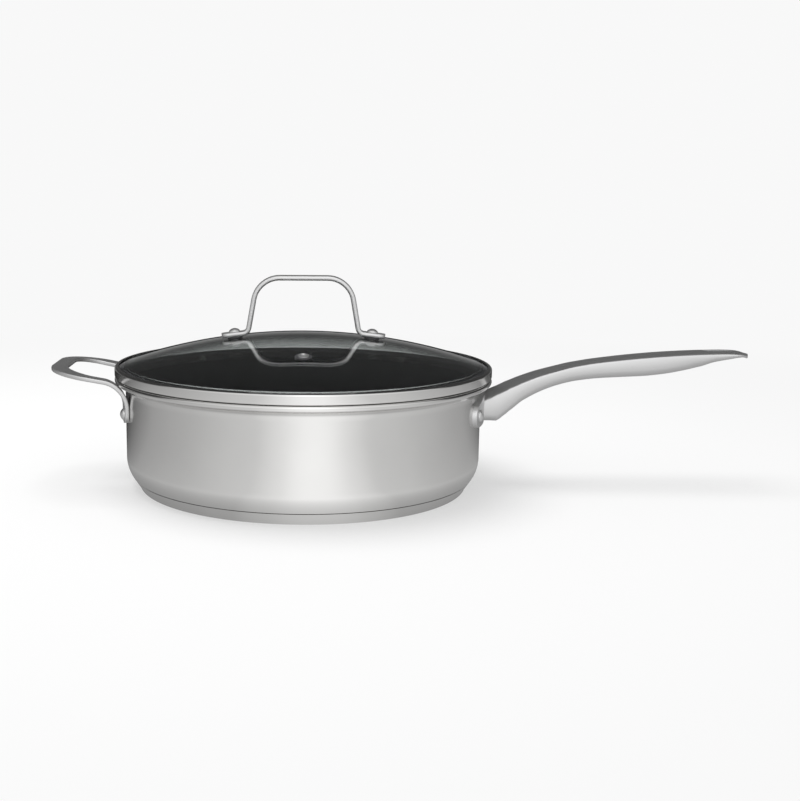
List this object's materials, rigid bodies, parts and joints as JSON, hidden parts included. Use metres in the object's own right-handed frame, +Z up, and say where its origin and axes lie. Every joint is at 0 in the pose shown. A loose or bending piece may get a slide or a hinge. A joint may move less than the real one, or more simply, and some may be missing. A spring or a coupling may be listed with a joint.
{
  "type": "saute pan with lid",
  "caption": "Straight-sided saute pan with a long riveted handle, a loop helper handle and a domed glass lid that lifts off.",
  "frame": {"origin": "centre of the base's flat underside, on the pan's axis", "axes": "+X along the long handle, -X along the helper handle, +Z up along the pan's axis"},
  "size_m": [0.528, 0.286, 0.16],
  "materials": {
    "pan_steel": "satin stainless steel outside, dark non-stick coating inside the pan",
    "core_aluminium": "plain, sealed in",
    "handle_steel": "polished stainless steel",
    "rivet_steel": "polished stainless steel",
    "lid_glass": "clear toughened glass",
    "seal_rubber": "matt silicone"
  },
  "bodies": {
    "pan": {"pan_body": "pan_steel", "base_core": "core_aluminium", "base_capsule": "pan_steel", "long_handle": "handle_steel", "long_handle_rivet_front": "rivet_steel", "long_handle_rivet_rear": "rivet_steel", "helper_handle": "handle_steel", "helper_rivet_front": "rivet_steel", "helper_rivet_rear": "rivet_steel"},
    "lid": {"lid_glass": "lid_glass", "lid_band": "pan_steel", "lid_seal": "seal_rubber", "lid_handle": "handle_steel", "lid_rivet_left": "rivet_steel", "lid_rivet_right": "rivet_steel", "lid_upper_washer_left": "seal_rubber", "lid_upper_washer_right": "seal_rubber", "lid_lower_washer_left": "seal_rubber", "lid_lower_washer_right": "seal_rubber", "vent_eyelet": "rivet_steel", "vent_gasket": "seal_rubber"}
  },
  "joints": [
    {"name": "lid_lift", "type": "slide", "parent": "pan", "child": "lid", "axis": [0, 0, 1], "range_m": [0, 0.15]}
  ]
}
